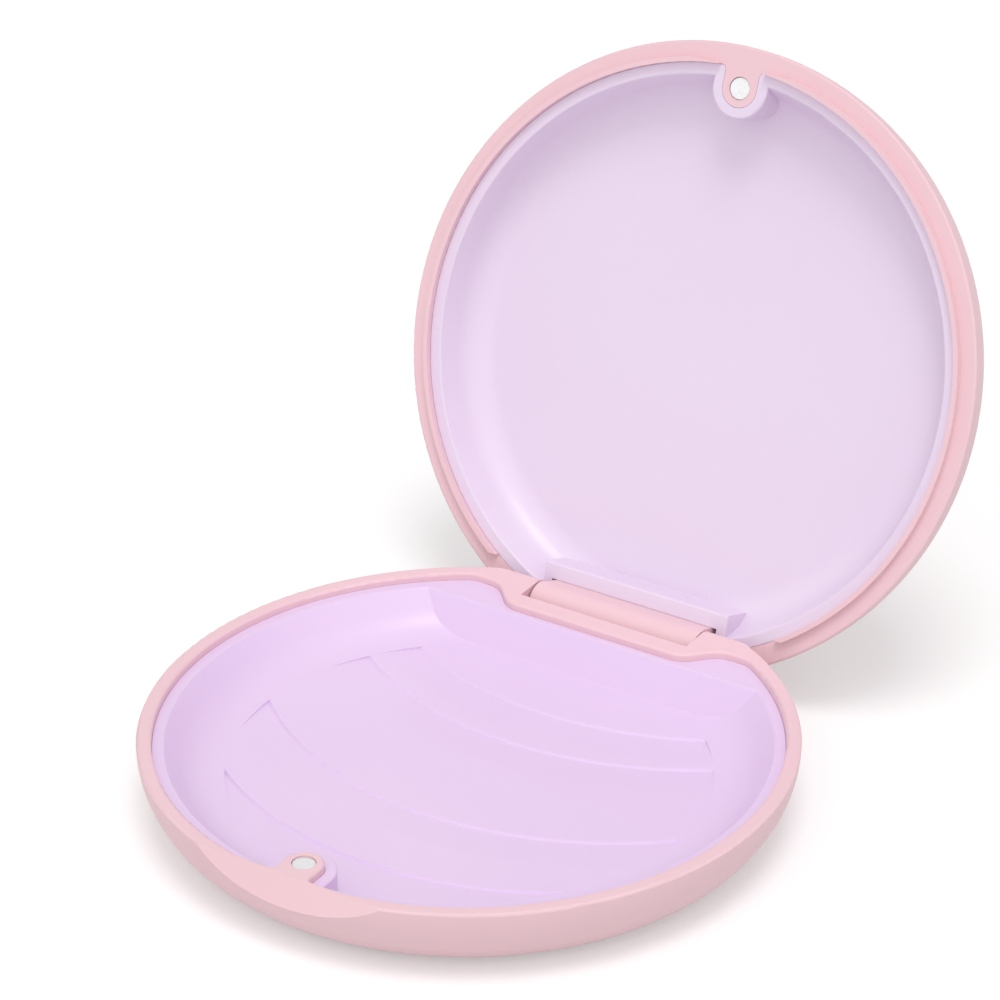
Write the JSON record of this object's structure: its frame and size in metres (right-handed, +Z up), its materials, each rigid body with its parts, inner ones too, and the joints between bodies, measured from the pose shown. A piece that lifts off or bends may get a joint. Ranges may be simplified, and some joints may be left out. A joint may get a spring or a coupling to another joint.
{
  "type": "retainer case",
  "caption": "Round clamshell retainer case with a shallow base and lid, two-tone shell and liner trays, a hidden pin hinge, a magnetic closure and a thumb scoop.",
  "frame": {"origin": "centre of the base's flat underside", "axes": "+Z up out of the base, +Y towards the hinge, +X to the right seen from the front; the lid is stored open"},
  "size_m": [0.09, 0.1239, 0.0856],
  "materials": {
    "shell_pink": "soft-touch matt pink, very fine even grain",
    "liner_lavender": "satin pale lavender, smooth moulded",
    "magnet_plating": "bright nickel plating",
    "pin_steel": "drawn steel wire"
  },
  "bodies": {
    "base": {"base_shell": "shell_pink", "base_liner": "liner_lavender", "base_magnet": "magnet_plating", "hinge_pin": "pin_steel"},
    "lid": {"lid_shell": "shell_pink", "lid_liner": "liner_lavender", "lid_magnet": "magnet_plating"}
  },
  "joints": [
    {"name": "lid_hinge", "type": "hinge", "parent": "base", "child": "lid", "pos_m": [0, 0.03916, 0.0083], "axis": [1, 0, 0], "range_deg": [0, 110.9]}
  ]
}
